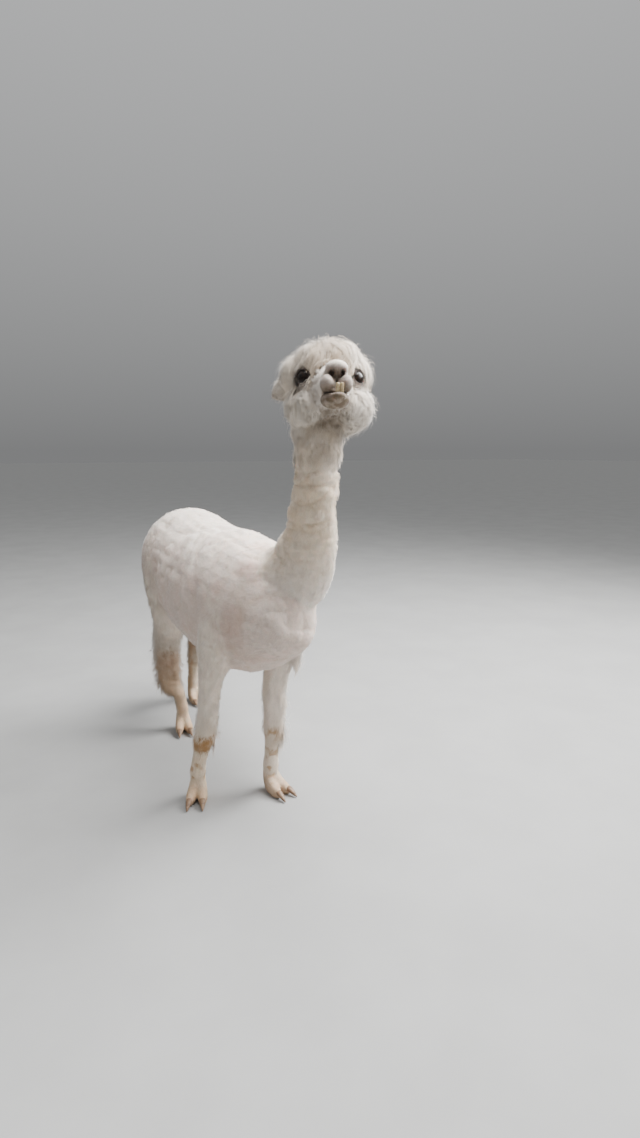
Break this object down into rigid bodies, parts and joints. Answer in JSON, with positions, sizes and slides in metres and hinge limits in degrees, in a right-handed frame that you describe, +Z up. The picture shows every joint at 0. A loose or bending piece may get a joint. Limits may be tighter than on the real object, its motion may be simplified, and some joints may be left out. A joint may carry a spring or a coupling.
{
  "type": "alpaca",
  "caption": "Freshly shorn white huacaya alpaca standing still, long neck upright, head turned to its right with a woolly topknot and cheeks, ears laid back, shaggy lower legs",
  "frame": {"origin": "on the floor, at the middle of the space the animal fills from above", "axes": "+Z up; the animal faces -Y, so +Y runs from its breast to its rump along the longest side; +X is the animal's left"},
  "size_m": [0.4421, 1.5089, 1.3881],
  "materials": {
    "wool": "short clipped fleece, off-white with a faint pink of skin",
    "neck_wool": "short clipped fleece in cream and beige with level ridges left by the shears",
    "head_wool": "long soft locks, cream and white",
    "face": "very short velvety hair over greyish pink skin",
    "cannon_wool": "short hair with shaggy locks, stained tan",
    "nail": "dark brown horn, slightly ridged",
    "eye": "wet, almost black brown",
    "tooth": "yellowish ivory, smooth"
  },
  "bodies": {
    "root": {"trunk": "wool", "tail": "wool", "neck_lower": "neck_wool", "neck_upper": "neck_wool", "head": "head_wool", "muzzle": "face", "lower_jaw": "face", "teeth": "tooth", "eye_left": "eye", "eye_right": "eye", "ear_left": "head_wool", "ear_right": "head_wool", "leg_front_right": "wool", "cannon_front_right": "cannon_wool", "foot_front_right": "cannon_wool", "toenail_front_right_a": "nail", "toenail_front_right_b": "nail", "leg_front_left": "wool", "cannon_front_left": "cannon_wool", "foot_front_left": "cannon_wool", "toenail_front_left_a": "nail", "toenail_front_left_b": "nail", "leg_hind_right": "wool", "cannon_hind_right": "cannon_wool", "foot_hind_right": "cannon_wool", "toenail_hind_right_a": "nail", "toenail_hind_right_b": "nail", "leg_hind_left": "wool", "cannon_hind_left": "cannon_wool", "foot_hind_left": "cannon_wool", "toenail_hind_left_a": "nail", "toenail_hind_left_b": "nail"}
  },
  "joints": []
}
